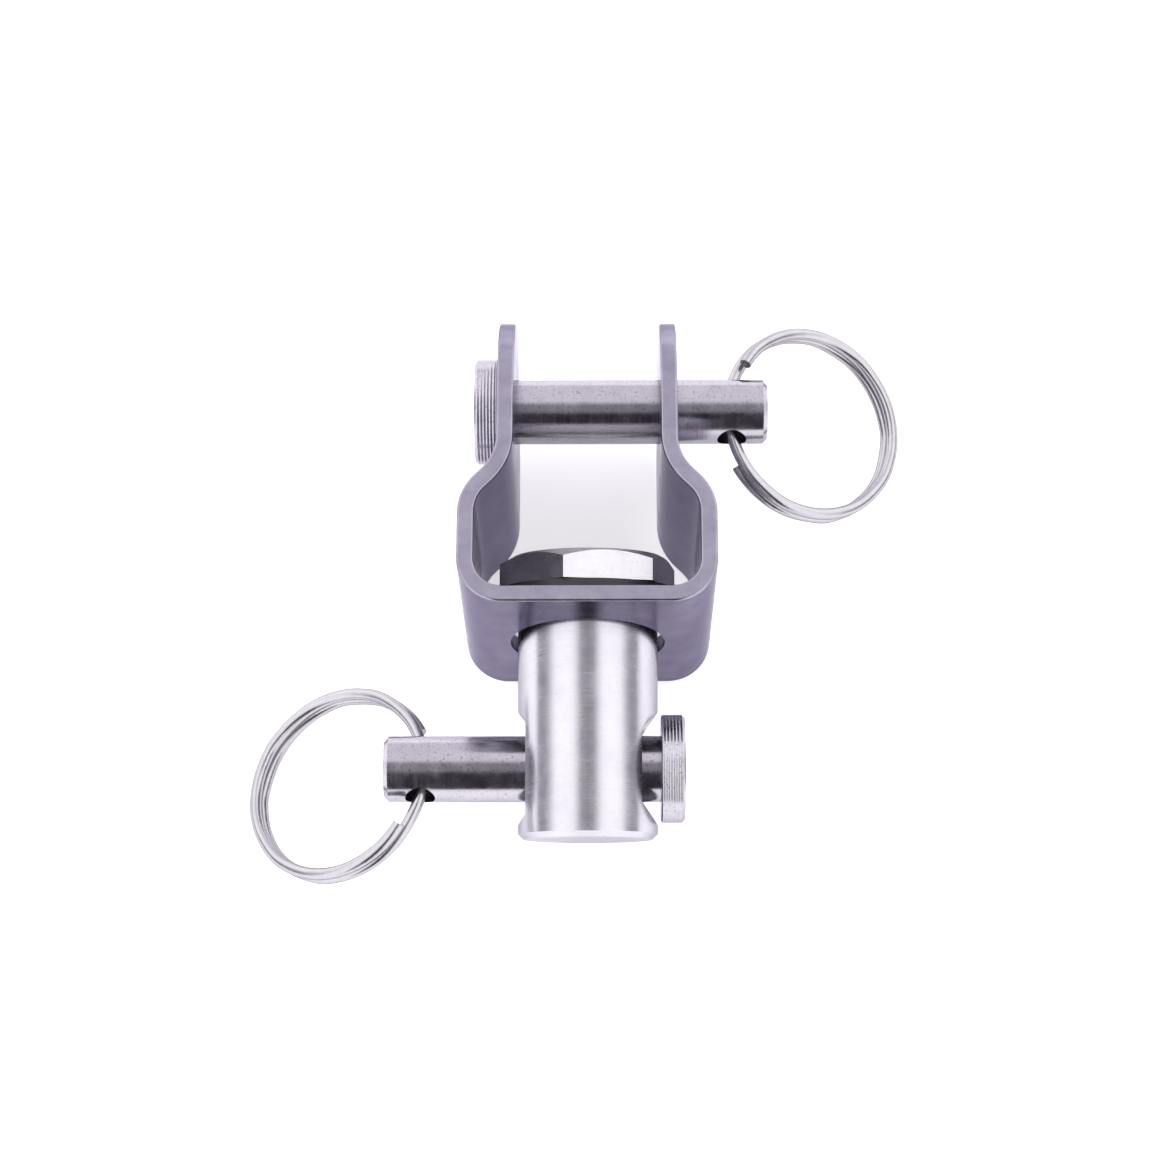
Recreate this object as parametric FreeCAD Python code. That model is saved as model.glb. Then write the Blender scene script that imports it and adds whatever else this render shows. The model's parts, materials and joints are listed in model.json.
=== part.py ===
import FreeCAD, Part
import math
import os
from FreeCAD import Rotation, Vector

# Fork-and-eye rigging swivel, millimetres. It lies on its side: X runs along both clevis pins,
# Y along the swivel's axis with the jaw towards +Y, and Z across the width of the strap.
# The origin is the middle of the jaw pin's axis, halfway between the ears.

# strap
sheet = 1.5
strap_width = 23.5
jaw_gap = 13.2          # between the ears
body_width = 23.0       # over the outside of the walls
jaw_depth = 22.7        # jaw pin axis to the web's outer face
ear_reach = 7.9         # jaw pin axis to the ears' rounded ends
ear_straight = 7.0      # jaw pin axis to where the ears start to spread
joggle_angle = 45.0
ear_bend = 5.25         # bend radii, to the middle of the sheet
wall_bend = 4.25
web_bend = 3.25
edge_round = 0.2

# barrel
barrel_d = 12.7
barrel_reach = 19.35    # web's outer face to the barrel's end, with the swivel pulled tight
barrel_pin_drop = 12.95  # web's outer face to the barrel pin's axis
barrel_chamfer = 0.5
spot_depth = 1.5        # where the pin's head goes
far_spot_depth = 0.75
thread_d = 8.0
thread_length = 8.5
drill_run = 1.0         # tapped hole past the thread's end

# hex bolt and thrust washer inside the strap
hex_flats = 14.3
hex_height = 2.8
hex_turn = -15.0        # a corner's angle from straight up
hex_chamfer_angle = 30.0
hex_chamfer_share = 0.95  # free face's round over the flats
shoulder_d = 9.4
washer_lap = 0.8        # past the web hole's edge
washer_thick = 1.9

# clevis pins, two alike
pin_d = 6.0
pin_grip = 25.0         # under the head to the tip
head_d = 9.8
head_thick = 2.15
ring_hole_d = 2.7
ring_hole_at = 21.7     # under the head to the ring hole
pin_chamfer = 0.4
head_chamfer = 0.25

# split rings, two alike
wire_d = 1.1
ring_mean_r = 8.8
ring_turns = 1.82
ring_stretches = 8      # the coil is swept in this many stretches, to keep it true

# clearances
pin_clearance = 0.1     # radial, pin in ear or barrel
web_clearance = 0.65    # radial, barrel in web hole
shoulder_clearance = 0.08  # radial, washer on the bolt's shoulder
thread_clearance = 0.03
washer_end_clearance = 0.05  # at each face of the washer
spot_clearance = 0.3    # radial, pin head in spot face
strand_clearance = 0.06  # between the ring's turns
rim_clearance = 0.05    # leaning barrel to the rim of the web hole
table_clearance = 0.15  # barrel pin's ring to the table

# how the pieces lie at rest
jaw_pin_play = 0.2      # jaw pin's head off its ear
barrel_pin_play = 1.75  # barrel pin's head off its spot face
jaw_hole_turn = -7.0    # ring hole's direction, from +Y towards +Z
barrel_hole_turn = -14.0
jaw_ring_turn = 3.0     # ring's direction through its hole, the same way
barrel_ring_turn = -6.0
jaw_ring_slope = 27.0   # ring's drop from level
jaw_ring_gap_turn = 1.0  # middle of the ring's single strand, from the hole
barrel_ring_gap_turn = -5.0

ear_x = jaw_gap / 2 + sheet
web_hole_r = barrel_d / 2 + web_clearance
web_out_y = -jaw_depth
web_in_y = web_out_y + sheet
washer_d = 2 * (web_hole_r + washer_lap)
washer_y = web_in_y + washer_end_clearance
shoulder_length = washer_thick + 2 * washer_end_clearance
hex_y = web_in_y + shoulder_length
spot_x = barrel_d / 2 - spot_depth
barrel_pin_y = web_out_y - barrel_pin_drop
ring_pitch = wire_d + strand_clearance
# the ring's curved wire is centred in the straight hole
ring_bow = ring_mean_r - math.sqrt(ring_mean_r ** 2 - (pin_d / 2) ** 2)
ring_centre_off = ring_mean_r - ring_bow / 2


def leaned_axis(lean, y):
    """Height of the barrel's axis where it passes y, when it hangs by the washer's upper edge."""
    tilt = math.radians(lean)
    along = (y - washer_y + washer_d / 2 * -math.sin(tilt)) / math.cos(tilt)
    return washer_d / 2 - washer_d / 2 * math.cos(tilt) + along * math.sin(tilt)


def rest_lean():
    """Angle at which the loose barrel meets the lower rim of the web hole."""
    low, high = 0.0, 40.0
    for _ in range(40):
        lean = (low + high) / 2
        reach = barrel_d / 2 / math.cos(math.radians(lean)) - leaned_axis(lean, web_out_y)
        if reach < web_hole_r - rim_clearance:
            low = lean
        else:
            high = lean
    return round(low, 1)


def table_slope():
    """Slope at which the barrel pin's ring comes down to the table."""
    pin_z = lean_point.z + (barrel_pin_y - lean_point.y) * math.sin(math.radians(lean_angle))
    pin_z -= lean_point.z * math.cos(math.radians(lean_angle))
    drop = strap_width / 2 + pin_z - table_clearance - wire_d / 2
    reach = ring_centre_off + ring_mean_r
    lift = math.atan2(ring_pitch / 2, reach)
    return math.degrees(math.asin(drop / math.hypot(reach, ring_pitch / 2)) - lift)


lean_angle = rest_lean()
lean_point = Vector(0, washer_y, washer_d / 2)
barrel_ring_slope = table_slope()


def leaned(shape):
    """A piece of the swivel, turned from straight to the angle at which it lies at rest."""
    shape.rotate(lean_point, Vector(1, 0, 0), lean_angle)
    return shape


def strip_outline(start, heading, steps, thick):
    """Closed outline of a bent strip: steps are (length,) for a straight and (angle, radius) for a bend."""
    left, right = [], []
    point, turn = start, math.radians(heading)
    for step in steps:
        side = Vector(-math.sin(turn), math.cos(turn), 0)
        if len(step) == 1:
            end = point + Vector(math.cos(turn), math.sin(turn), 0) * step[0]
            for edges, off in ((left, thick / 2), (right, -thick / 2)):
                edges.append(Part.LineSegment(point + side * off, end + side * off).toShape())
            point = end
            continue
        angle, radius = math.radians(step[0]), math.copysign(step[1], step[0])
        centre = point + side * radius
        for edges, off in ((left, thick / 2), (right, -thick / 2)):
            places = []
            for share in (0, 0.5, 1):
                a = turn + angle * share
                places.append(centre + Vector(math.sin(a), -math.cos(a), 0) * (radius - off))
            edges.append(Part.Arc(*places).toShape())
        turn += angle
        point = centre + Vector(math.sin(turn), -math.cos(turn), 0) * radius
    ends = []
    for i in (0, -1):
        ends.append(Part.LineSegment(left[i].Vertexes[i].Point, right[i].Vertexes[i].Point).toShape())
    return Part.Wire(Part.__sortEdges__(left + right + ends))


def bored(shape, radius, at, direction, length):
    """The shape with a round hole through it, centred on a point."""
    direction = Vector(direction).normalize()
    return shape.cut(Part.makeCylinder(radius, length, at - direction * (length / 2), direction))


def strap():
    """Bent strap: two ears, joggled out to two walls and a web."""
    mid_ear = (jaw_gap + sheet) / 2
    mid_wall = (body_width - sheet) / 2
    spread = math.radians(joggle_angle)
    bends = (ear_bend + wall_bend) * (1 - math.cos(spread))
    slant = (mid_wall - mid_ear - bends) / math.sin(spread)
    joggle_drop = (ear_bend + wall_bend) * math.sin(spread) + slant * math.cos(spread)
    wall = jaw_depth - sheet / 2 - web_bend - ear_straight - joggle_drop
    joggle = [(-joggle_angle, ear_bend), (slant,), (joggle_angle, wall_bend)]
    down = [(ear_reach + ear_straight,)] + joggle + [(wall,)]
    web = [(90, web_bend), (2 * (mid_wall - web_bend),), (90, web_bend)]
    outline = strip_outline(Vector(-mid_ear, ear_reach, 0), 270, down + web + down[::-1], sheet)
    strip = Part.Face(outline).extrude(Vector(0, 0, strap_width))
    strip.translate(Vector(0, 0, -strap_width / 2))
    # rounded ear ends, seen along X
    end_r = strap_width / 2
    centre_y = ear_reach - end_r
    block = Part.makeBox(2 * body_width, centre_y + 2 * jaw_depth, strap_width + 2,
                         Vector(-body_width, -2 * jaw_depth, -strap_width / 2 - 1))
    disc = Part.makeCylinder(end_r, 2 * body_width, Vector(-body_width, centre_y, 0), Vector(1, 0, 0))
    body = strip.common(block.fuse(disc)).removeSplitter()
    body = body.makeFillet(edge_round, long_edges(body))
    body = bored(body, pin_d / 2 + pin_clearance, Vector(0, 0, 0), (1, 0, 0), 2 * body_width)
    return bored(body, web_hole_r, Vector(0, web_out_y + sheet / 2, 0), (0, 1, 0), 2 * sheet)


def long_edges(body):
    """Edges where the strap's broad faces meet its narrow sides and rounded ends."""
    found = []
    half = strap_width / 2
    for edge in body.Edges:
        middle = edge.valueAt((edge.FirstParameter + edge.LastParameter) / 2)
        flat = abs(abs(edge.BoundBox.ZMin) - half) < 1e-4 and edge.BoundBox.ZLength < 1e-4
        round_end = abs(math.hypot(middle.y - (ear_reach - half), middle.z) - half) < 1e-3
        if flat and (edge.BoundBox.XLength > sheet + 1e-3 or edge.BoundBox.YLength > 1e-3):
            found.append(edge)
        elif round_end and edge.BoundBox.XLength < 1e-4 and middle.y > ear_reach - half:
            found.append(edge)
    return found


def turned(profile):
    """A solid of revolution about X from (x, radius) points."""
    points = [Vector(x, r, 0) for x, r in profile]
    face = Part.Face(Part.makePolygon(points + [points[0]]))
    return face.revolve(Vector(0, 0, 0), Vector(1, 0, 0), 360)


def clevis_pin(under_head, away, at_y, hole_turn):
    """Headed pin along X with a cross hole for its ring; away is the way the shank points."""
    head_r, shank_r, bevel = head_d / 2, pin_d / 2, head_chamfer
    profile = [(-head_thick, 0), (-head_thick, head_r - bevel), (bevel - head_thick, head_r),
               (-bevel / 2, head_r), (0, head_r - bevel / 2), (0, shank_r),
               (pin_grip - pin_chamfer, shank_r), (pin_grip, shank_r - pin_chamfer), (pin_grip, 0)]
    pin = turned([(under_head + away * x, r) for x, r in profile])
    pin.translate(Vector(0, at_y, 0))
    tilt = math.radians(hole_turn)
    centre = Vector(under_head + away * ring_hole_at, at_y, 0)
    return bored(pin, ring_hole_d / 2, centre, (0, math.cos(tilt), math.sin(tilt)), 2 * head_d)


def coil():
    """Solid coil of wire about Z, starting at the centre's height on +X."""
    rise = ring_pitch / (2 * math.pi)
    turn = 2 * math.pi * ring_turns / ring_stretches
    stretches = []
    for k in range(ring_stretches):
        angles = [turn * (k + share) for share in (0, 0.25, 0.5, 0.75, 1)]
        places = [Vector(ring_mean_r * math.cos(a), ring_mean_r * math.sin(a), rise * a) for a in angles]
        heads = [Vector(-p.y, p.x, rise).normalize() for p in (places[0], places[-1])]
        line = Part.BSplineCurve()
        line.interpolate(Points=places, InitialTangent=heads[0], FinalTangent=heads[1])
        stretches.append(line.toShape())
    section = Part.Wire(Part.makeCircle(wire_d / 2, Vector(ring_mean_r, 0, 0), Vector(0, ring_mean_r, rise)))
    return Part.Wire(stretches).makePipeShell([section], True, False)


def split_ring(hole, along_turn, slope, gap_turn, away):
    """Split ring whose single strand of wire passes through a pin's cross hole."""
    origin = Vector(0, 0, 0)
    ring = coil()
    # middle of the single strand on -X, where the ring passes through the pin
    ring.translate(Vector(0, 0, -ring_pitch * ring_turns / 2))
    ring.rotate(origin, Vector(0, 0, 1), 180 - 180 * ring_turns + gap_turn)
    ring.translate(Vector(ring_centre_off, 0, 0))
    # out of the pin, sloping down, then round to its own pin
    ring.rotate(origin, Vector(0, 1, 0), slope)
    if away < 0:
        ring.rotate(origin, Vector(0, 0, 1), 180)
    ring.rotate(origin, Vector(1, 0, 0), along_turn)
    ring.translate(hole)
    return ring


def thrust_washer():
    """Plastic washer that the swivel turns on, inside the strap."""
    up = Vector(0, 1, 0)
    at = Vector(0, washer_y, 0)
    disc = Part.makeCylinder(washer_d / 2, washer_thick, at, up)
    bore_r = shoulder_d / 2 + shoulder_clearance
    return leaned(disc.cut(Part.makeCylinder(bore_r, washer_thick, at, up)))


def hex_bolt():
    """Shouldered bolt: the head bears on the washer and the thread holds the barrel."""
    up = Vector(0, 1, 0)
    corner_r = hex_flats / math.sqrt(3)
    corners = []
    for i in range(7):
        a = math.radians(hex_turn + 60 * i)
        corners.append(Vector(corner_r * math.sin(a), hex_y, corner_r * math.cos(a)))
    head = Part.Face(Part.makePolygon(corners)).extrude(Vector(0, hex_height, 0))
    # chamfer over the corners of the free face
    top_y = hex_y + hex_height
    top_r = hex_flats / 2 * hex_chamfer_share
    cone_height = (2 * corner_r - top_r) * math.tan(math.radians(hex_chamfer_angle))
    cone = Part.makeCone(2 * corner_r, top_r, cone_height, Vector(0, top_y - cone_height, 0), up)
    head = head.common(cone)
    shoulder = Part.makeCylinder(shoulder_d / 2, shoulder_length, Vector(0, web_in_y, 0), up)
    thread = Part.makeCylinder(thread_d / 2, thread_length, Vector(0, web_in_y - thread_length, 0), up)
    return leaned(head.fuse([shoulder, thread]).removeSplitter())


def barrel():
    """Turned barrel: tapped from the top and cross bored near its end, with a spot face each side."""
    up = Vector(0, 1, 0)
    low_y = web_out_y - barrel_reach
    body = Part.makeCylinder(barrel_d / 2, web_in_y - low_y, Vector(0, low_y, 0), up)
    rims = [e for e in body.Edges if e.Curve.TypeId == "Part::GeomCircle"]
    body = body.makeChamfer(barrel_chamfer, [e for e in rims if abs(e.Curve.Center.y - low_y) < 1e-6])
    tapped_r = thread_d / 2 + thread_clearance
    tapped_depth = thread_length + drill_run
    body = body.cut(Part.makeCylinder(tapped_r, tapped_depth, Vector(0, web_in_y - tapped_depth, 0), up))
    body = bored(body, pin_d / 2 + pin_clearance, Vector(0, barrel_pin_y, 0), (1, 0, 0), 2 * barrel_d)
    for side, depth in ((1, spot_depth), (-1, far_spot_depth)):
        at = Vector(side * (barrel_d / 2 - depth), barrel_pin_y, 0)
        body = body.cut(Part.makeCylinder(head_d / 2 + spot_clearance, barrel_d, at, Vector(side, 0, 0)))
    return leaned(body)


def jaw_ring():
    hole = Vector(ring_hole_at - ear_x - jaw_pin_play, 0, 0)
    return split_ring(hole, jaw_ring_turn, jaw_ring_slope, jaw_ring_gap_turn, 1)


def barrel_ring():
    hole = Vector(spot_x + barrel_pin_play - ring_hole_at, barrel_pin_y, 0)
    upright = barrel_ring_turn - lean_angle
    return leaned(split_ring(hole, upright, barrel_ring_slope, barrel_ring_gap_turn, -1))


os.makedirs("parts", exist_ok=True)
barrel_pin_angle = barrel_hole_turn - lean_angle
pieces = {
    "jaw_strap": strap(),
    "jaw_pin": clevis_pin(-ear_x - jaw_pin_play, 1, 0, jaw_hole_turn),
    "jaw_pin_ring": jaw_ring(),
    "thrust_washer": thrust_washer(),
    "hex_bolt": hex_bolt(),
    "barrel": barrel(),
    "barrel_pin": leaned(clevis_pin(spot_x + barrel_pin_play, -1, barrel_pin_y, barrel_pin_angle)),
    "barrel_pin_ring": barrel_ring(),
}
for name, shape in pieces.items():
    shape.exportStep("parts/" + name + ".step")
    print(name, "valid", shape.isValid(), "solids", len(shape.Solids), "volume", round(shape.Volume, 2))
print("lean", lean_angle, "about", lean_point)
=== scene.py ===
import json
import math
import bpy
from mathutils import Matrix, Vector


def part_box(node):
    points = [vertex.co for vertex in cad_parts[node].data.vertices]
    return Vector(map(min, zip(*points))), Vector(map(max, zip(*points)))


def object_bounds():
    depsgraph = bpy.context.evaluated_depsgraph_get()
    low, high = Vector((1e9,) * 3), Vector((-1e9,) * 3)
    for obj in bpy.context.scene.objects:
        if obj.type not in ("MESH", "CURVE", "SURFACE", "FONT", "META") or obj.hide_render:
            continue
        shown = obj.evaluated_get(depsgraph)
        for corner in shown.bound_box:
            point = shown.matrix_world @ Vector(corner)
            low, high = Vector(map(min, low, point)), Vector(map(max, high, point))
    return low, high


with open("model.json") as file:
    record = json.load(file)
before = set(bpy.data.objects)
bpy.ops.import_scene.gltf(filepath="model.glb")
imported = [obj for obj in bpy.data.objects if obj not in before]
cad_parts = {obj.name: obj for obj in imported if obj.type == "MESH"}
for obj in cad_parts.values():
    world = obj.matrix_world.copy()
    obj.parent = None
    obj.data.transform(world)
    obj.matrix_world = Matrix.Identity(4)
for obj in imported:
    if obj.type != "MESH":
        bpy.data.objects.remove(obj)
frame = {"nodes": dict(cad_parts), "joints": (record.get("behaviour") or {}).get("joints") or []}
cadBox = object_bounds()
print("swivel loaded:", len(frame["nodes"]), "pieces")

mm = 0.001
swivelAxis = [joint["axis"] for joint in frame["joints"] if joint["name"] == "swivel_turn"][0]
barrelLean = math.atan2(swivelAxis[2], swivelAxis[1])  # how far the barrel's axis is turned about X

# what every noise, steel finish and colour mix here has in common
noiseSettings = {"roughness": 0.6, "usualLow": 0.3, "usualHigh": 0.7}
steelSettings = {
    "lineDetail": 3.0, "cloudDetail": 4.0, "speckDetail": 2.0, "toneStart": 0.32, "toneEnd": 0.68,
    "pitBand": 0.06, "reliefDepth": 0.02 * mm, "ridgeDepth": 0.04 * mm,
}
mixSockets = {"first": 6, "second": 7, "result": 2}  # where the Mix node keeps its colours


def freshMaterial(name):
    material = bpy.data.materials.new(name)
    material.use_nodes = True
    return material, material.node_tree, material.node_tree.nodes["Principled BSDF"]


def addNode(tree, kind, **values):
    node = tree.nodes.new(kind)
    for key, value in values.items():
        if key in node.inputs:
            node.inputs[key].default_value = value
        else:
            setattr(node, key, value)
    return node


def feed(tree, socket, value):
    # a link where value is another node's output, otherwise the socket's own value
    if isinstance(value, bpy.types.NodeSocket):
        tree.links.new(value, socket)
    elif socket.type == "RGBA":
        socket.default_value = (*value, 1)
    else:
        socket.default_value = value


def mathOf(tree, operation, *values, kind="ShaderNodeMath"):
    step = addNode(tree, kind, operation=operation)
    for socket, value in zip(step.inputs, values):
        feed(tree, socket, value)
    return step


def mapped(tree, value, fromRange, toRange=(0, 1), curve="LINEAR"):
    ranged = addNode(tree, "ShaderNodeMapRange", interpolation_type=curve)
    ranged.inputs["From Min"].default_value, ranged.inputs["From Max"].default_value = fromRange
    ranged.inputs["To Min"].default_value, ranged.inputs["To Max"].default_value = toRange
    tree.links.new(value, ranged.inputs["Value"])
    return ranged.outputs["Result"]


def mixColours(tree, factor, first, second, blend="MIX"):
    mix = addNode(tree, "ShaderNodeMix", data_type="RGBA", blend_type=blend)
    feed(tree, mix.inputs["Factor"], factor)
    feed(tree, mix.inputs[mixSockets["first"]], first)
    feed(tree, mix.inputs[mixSockets["second"]], second)
    return mix.outputs[mixSockets["result"]]


def noiseOver(tree, scale, turn, size, detail):
    # a place on the piece is stretched along the frame's axes, and turned, before the noise is read
    place = addNode(tree, "ShaderNodeTexCoord")
    mapping = addNode(tree, "ShaderNodeMapping", Scale=scale, Rotation=turn)
    noise = addNode(tree, "ShaderNodeTexNoise", Scale=size, Detail=detail)
    noise.inputs["Roughness"].default_value = noiseSettings["roughness"]
    tree.links.new(place.outputs["Object"], mapping.inputs["Vector"])
    tree.links.new(mapping.outputs["Vector"], noise.inputs["Vector"])
    return noise.outputs["Fac"]


def spread(tree, noise, low, high):
    # nearly all of a noise lies between its usual low and high, which are spread from low to high
    return mapped(tree, noise, (noiseSettings["usualLow"], noiseSettings["usualHigh"]), (low, high))


def toneOf(tree, value, dark, light, start=0.0, end=1.0):
    ramp = addNode(tree, "ShaderNodeValToRGB")
    for stop, place, colour in zip(ramp.color_ramp.elements, (start, end), (dark, light)):
        stop.position = place
        stop.color = (*colour, 1)
    tree.links.new(value, ramp.inputs["Fac"])
    return ramp.outputs["Color"]


def reliefOf(tree, height, strength, depth, under=None):
    bump = addNode(tree, "ShaderNodeBump", Strength=strength, Distance=depth)
    tree.links.new(height, bump.inputs["Height"])
    if under is not None:
        tree.links.new(under, bump.inputs["Normal"])
    return bump.outputs["Normal"]


def headRidges(tree, finish):
    # a wave along the pin's axis, kept to places further out than its shank, which are its head
    place = addNode(tree, "ShaderNodeTexCoord").outputs["Object"]
    parts = addNode(tree, "ShaderNodeSeparateXYZ")
    tree.links.new(place, parts.inputs["Vector"])
    angle = mathOf(tree, "MULTIPLY", parts.outputs["X"], 2 * math.pi / finish["ridgePitch"])
    wave = mathOf(tree, "SINE", angle.outputs[0])
    fromMiddle = mathOf(tree, "SUBTRACT", place, finish["middle"], kind="ShaderNodeVectorMath")
    fromAxis = mathOf(tree, "MULTIPLY", fromMiddle.outputs[0], (0, 1, 1), kind="ShaderNodeVectorMath")
    out = mathOf(tree, "LENGTH", fromAxis.outputs[0], kind="ShaderNodeVectorMath")
    headFrom = finish["shankRadius"] * finish["clearOfShank"]
    onHead = mathOf(tree, "GREATER_THAN", out.outputs["Value"], headFrom)
    return mathOf(tree, "MULTIPLY", wave.outputs[0], onHead.outputs[0]).outputs[0]


def steelFinish(name, finish):
    material, tree, shader = freshMaterial(name)
    shader.inputs["Metallic"].default_value = 1.0
    feed(tree, shader.inputs["Specular Tint"], finish["edgeTone"])
    turn = finish["turn"]
    lines = noiseOver(tree, finish["lineScale"], turn, 1.0, steelSettings["lineDetail"])
    cloud = noiseOver(tree, (1, 1, 1), turn, finish["cloudSize"], steelSettings["cloudDetail"])
    speck = noiseOver(tree, (1, 1, 1), turn, finish["speckSize"], steelSettings["speckDetail"])

    # tone: slow cloudy change between two close greys, darker in the finest pits
    tone = toneOf(tree, cloud, finish["darkTone"], finish["lightTone"],
                  steelSettings["toneStart"], steelSettings["toneEnd"])
    pitRange = (finish["pitLevel"], finish["pitLevel"] + steelSettings["pitBand"])
    pits = mapped(tree, speck, pitRange, (finish["pitShade"], 1.0))
    feed(tree, shader.inputs["Base Color"], mixColours(tree, 1.0, tone, pits, "MULTIPLY"))

    # roughness: tooling lines over the polish
    lineRough = spread(tree, lines, -finish["lineRough"], finish["lineRough"])
    cloudRough = spread(tree, cloud, finish["roughLow"], finish["roughHigh"])
    rough = mathOf(tree, "ADD", lineRough, cloudRough)
    rough.use_clamp = True
    feed(tree, shader.inputs["Roughness"], rough.outputs[0])

    # relief: ridges on a pin's head, the tooling lines, then the pits
    ridges = None
    if "headRidges" in finish:
        ridges = reliefOf(tree, headRidges(tree, finish), finish["headRidges"], steelSettings["ridgeDepth"])
    tooled = reliefOf(tree, lines, finish["lineBump"], steelSettings["reliefDepth"], under=ridges)
    pitted = reliefOf(tree, speck, finish["speckBump"], steelSettings["reliefDepth"], under=tooled)
    feed(tree, shader.inputs["Normal"], pitted)
    return material


def give(node, material):
    piece = frame["nodes"][node]
    piece.data.materials.clear()
    piece.data.materials.append(material)


# polished sheet, with its grain along Y
strapFinish = {
    "darkTone": (0.25, 0.235, 0.29), "lightTone": (0.32, 0.305, 0.36), "edgeTone": (0.42, 0.40, 0.48),
    "turn": (0, 0, 0), "lineScale": (9000, 260, 9000), "cloudSize": 420, "speckSize": 9000,
    "pitLevel": 0.30, "pitShade": 0.7, "lineRough": 0.05, "roughLow": 0.13, "roughHigh": 0.24,
    "lineBump": 0.10, "speckBump": 0.06,
}
give("jaw_strap", steelFinish("strapSteel", strapFinish))
print("strap finish given")

# pins, which lie along X, with fine lathe lines round them and deeper ridges round their heads
pinFinish = {
    "darkTone": (0.40, 0.385, 0.42), "lightTone": (0.46, 0.445, 0.48), "edgeTone": (0.7, 0.68, 0.74),
    "turn": (0, 0, 0), "lineScale": (9000, 120, 120), "cloudSize": 500, "speckSize": 5000,
    "pitLevel": 0.34, "pitShade": 0.6, "lineRough": 0.03, "roughLow": 0.15, "roughHigh": 0.24,
    "lineBump": 0.06, "speckBump": 0.12,
    "headRidges": 0.35, "ridgePitch": 0.30 * mm, "shankRadius": 3.0 * mm, "clearOfShank": 1.1,
}
for pinNode in ("jaw_pin", "barrel_pin"):
    lowest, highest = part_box(pinNode)
    middle = (lowest + highest) / 2
    give(pinNode, steelFinish(pinNode + "Steel", dict(pinFinish, middle=middle)))
print("pin finishes given")

# bright wire, the same in both rings
ringFinish = {
    "darkTone": (0.40, 0.39, 0.41), "lightTone": (0.44, 0.43, 0.45), "edgeTone": (0.35, 0.34, 0.37),
    "turn": (0, 0, 0), "lineScale": (2500, 2500, 2500), "cloudSize": 900, "speckSize": 9000,
    "pitLevel": 0.24, "pitShade": 0.85, "lineRough": 0.02, "roughLow": 0.20, "roughHigh": 0.26,
    "lineBump": 0.03, "speckBump": 0.03,
}
ringWire = steelFinish("ringWire", ringFinish)
for ringNode in ("jaw_pin_ring", "barrel_pin_ring"):
    give(ringNode, ringWire)
print("ring finish given")

# bolt, a little rougher than the other steel
boltFinish = {
    "darkTone": (0.52, 0.51, 0.53), "lightTone": (0.60, 0.59, 0.61), "edgeTone": (0.7, 0.7, 0.72),
    "turn": (barrelLean, 0, 0), "lineScale": (900, 9000, 900), "cloudSize": 500, "speckSize": 7000,
    "pitLevel": 0.30, "pitShade": 0.7, "lineRough": 0.05, "roughLow": 0.28, "roughHigh": 0.36,
    "lineBump": 0.10, "speckBump": 0.08,
}
give("hex_bolt", steelFinish("boltSteel", boltFinish))
print("bolt finish given")

# barrel, with close lathe lines laid square to Y, so they are off the leaning barrel's axis by its lean
barrelFinish = {
    "darkTone": (0.47, 0.46, 0.49), "lightTone": (0.53, 0.52, 0.55), "edgeTone": (0.55, 0.54, 0.58),
    "turn": (-barrelLean, 0, 0), "lineScale": (140, 15000, 140), "cloudSize": 450, "speckSize": 8000,
    "pitLevel": 0.28, "pitShade": 0.7, "lineRough": 0.04, "roughLow": 0.20, "roughHigh": 0.27,
    "lineBump": 0.10, "speckBump": 0.05,
}
give("barrel", steelFinish("barrelSteel", barrelFinish))
print("barrel finish given")

# near-black plastic with a fine grain; its near-black also stands in for painted shade in the gap between
# the hex head and the strap
washerFinish = {
    "dark": (0.012, 0.012, 0.014), "light": (0.035, 0.034, 0.038), "grain": 3500, "grainDetail": 3.0,
    "roughLow": 0.42, "roughHigh": 0.6, "grainBump": 0.2, "grainDepth": 0.03 * mm,
}


def washerPlasticAndGapShade(finish):
    material, tree, shader = freshMaterial("washerPlasticAndGapShade")
    grain = noiseOver(tree, (1, 1, 1), (0, 0, 0), finish["grain"], finish["grainDetail"])
    # the near-black base colour is partly the washer's own and partly painted shade for the gap under the
    # hex head
    feed(tree, shader.inputs["Base Color"], toneOf(tree, grain, finish["dark"], finish["light"]))
    feed(tree, shader.inputs["Roughness"], spread(tree, grain, finish["roughLow"], finish["roughHigh"]))
    feed(tree, shader.inputs["Normal"], reliefOf(tree, grain, finish["grainBump"], finish["grainDepth"]))
    return material


give("thrust_washer", washerPlasticAndGapShade(washerFinish))
print("washer finish given")

# a wide pale floor that glows a little, at the height of the swivel's lowest point; sizes in metres
floorSettings = {
    "halfSide": 3.0, "height": cadBox[0][2], "colour": (0.86, 0.85, 0.88), "roughness": 0.7,
    "specular": 0.1, "glow": (1.0, 0.99, 1.0), "glowStrength": 0.5,
}


def paleFloor(settings):
    side, height = settings["halfSide"], settings["height"]
    mesh = bpy.data.meshes.new("floor")
    corners = [(-side, -side, height), (side, -side, height), (side, side, height), (-side, side, height)]
    mesh.from_pydata(corners, [], [(0, 1, 2, 3)])
    floor = bpy.data.objects.new("floor", mesh)
    bpy.context.scene.collection.objects.link(floor)
    material, tree, shader = freshMaterial("floorWhite")
    for name, key in (("Base Color", "colour"), ("Roughness", "roughness"),
                      ("Specular IOR Level", "specular"), ("Emission Color", "glow"),
                      ("Emission Strength", "glowStrength")):
        feed(tree, shader.inputs[name], settings[key])
    mesh.materials.append(material)


paleFloor(floorSettings)
print("floor laid")

# a room seen in the steel: tall soft panels left and right with dimmer walls past them, and between them
# a dark near side, a grey overhead and a bright far side. An Edge is where its tone starts and is full,
# on a direction of length 1: along Y for overhead and far, sideways for panel and side
studio = {
    "panel": (1.95, 1.93, 1.98), "panelEdge": (0.12, 0.42),
    "side": (0.5, 0.48, 0.54), "sideEdge": (0.80, 0.97),
    "near": (0.03, 0.02, 0.035),
    "overhead": (0.38, 0.36, 0.40), "overheadEdge": (-0.55, -0.30),
    "far": (1.30, 1.25, 1.36), "farEdge": (0.02, 0.30),
    "backdrop": (1, 1, 1),  # what is seen past the floor
}


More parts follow.
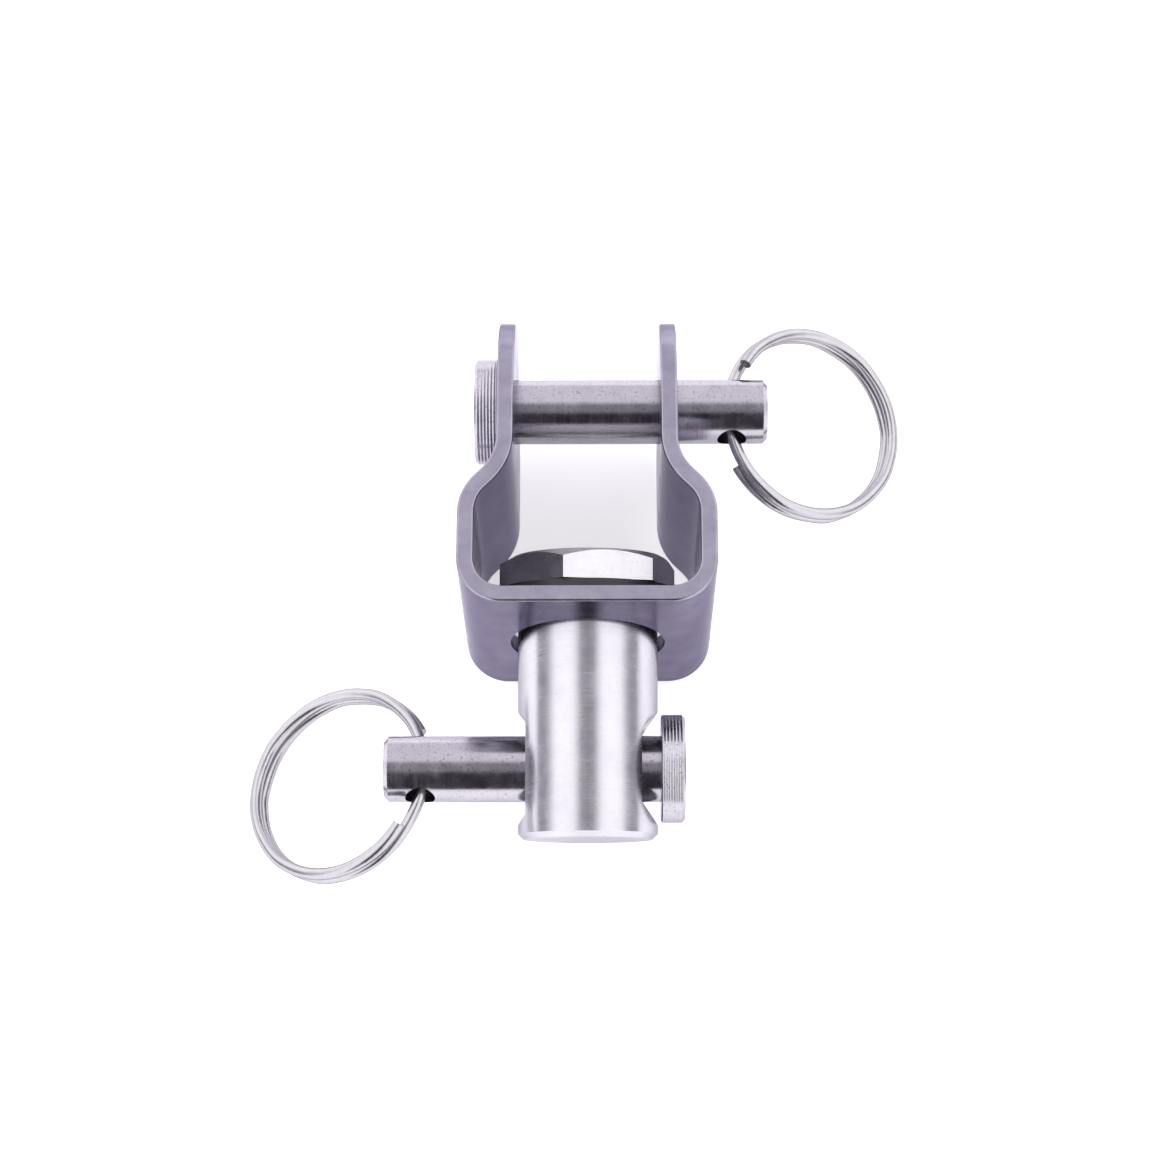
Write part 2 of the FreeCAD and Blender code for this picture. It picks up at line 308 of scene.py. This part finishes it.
def studioWorld(settings):
    world = bpy.data.worlds.new("studio")
    bpy.context.scene.world = world
    world.use_nodes = True
    tree = world.node_tree
    place = addNode(tree, "ShaderNodeTexCoord")
    parts = addNode(tree, "ShaderNodeSeparateXYZ")
    tree.links.new(place.outputs["Generated"], parts.inputs["Vector"])
    sideways = mathOf(tree, "ABSOLUTE", parts.outputs["X"]).outputs[0]
    away = parts.outputs["Y"]
    room = settings["near"]
    for name, along in (("overhead", away), ("far", away), ("panel", sideways), ("side", sideways)):
        edge = mapped(tree, along, settings[name + "Edge"], curve="SMOOTHSTEP")
        room = mixColours(tree, edge, room, settings[name])
    seen = addNode(tree, "ShaderNodeLightPath")
    shown = mixColours(tree, seen.outputs["Is Camera Ray"], room, settings["backdrop"])
    tree.links.new(shown, tree.nodes["Background"].inputs["Color"])


studioWorld(studio)
print("room set")

# a soft lamp high on the left; metres and watts
keyLight = {"place": (-0.30, 0.05, 0.42), "size": 0.22, "power": 1.0, "colour": (1.0, 0.985, 0.97)}


def addKeyLight(settings):
    lamp = bpy.data.lights.new("keyLight", "AREA")
    lamp.size = settings["size"]
    lamp.energy = settings["power"]
    lamp.color = settings["colour"]
    light = bpy.data.objects.new("keyLight", lamp)
    bpy.context.scene.collection.objects.link(light)
    light.location = settings["place"]
    light.rotation_euler = Vector(settings["place"]).to_track_quat("Z", "Y").to_euler()  # faces the origin
    light.visible_glossy = False  # the steel doesn't mirror the lamp


addKeyLight(keyLight)
print("light set")

# lengths in millimetres, turns in degrees
cameraSettings = {
    "place": (1.3, -106.2, 253.8), "yaw": 0.35, "tilt": 19.34, "roll": 0.01,
    "lens": 90.41, "sensor": 36, "nearest": 10,
}


def setCamera(settings):
    data = bpy.data.cameras.new("camera")
    data.lens = settings["lens"]
    data.sensor_width = settings["sensor"]
    data.clip_start = settings["nearest"] * mm
    camera = bpy.data.objects.new("camera", data)
    bpy.context.scene.collection.objects.link(camera)
    turns = [Matrix.Rotation(math.radians(settings[name]), 4, axis)
             for name, axis in (("yaw", "Y"), ("tilt", "X"), ("roll", "Z"))]
    place = Matrix.Translation(Vector(settings["place"]) * mm)
    camera.matrix_world = place @ turns[0] @ turns[1] @ turns[2]
    bpy.context.scene.camera = camera


setCamera(cameraSettings)
bpy.context.scene.view_settings.view_transform = "Standard"
print("camera set")
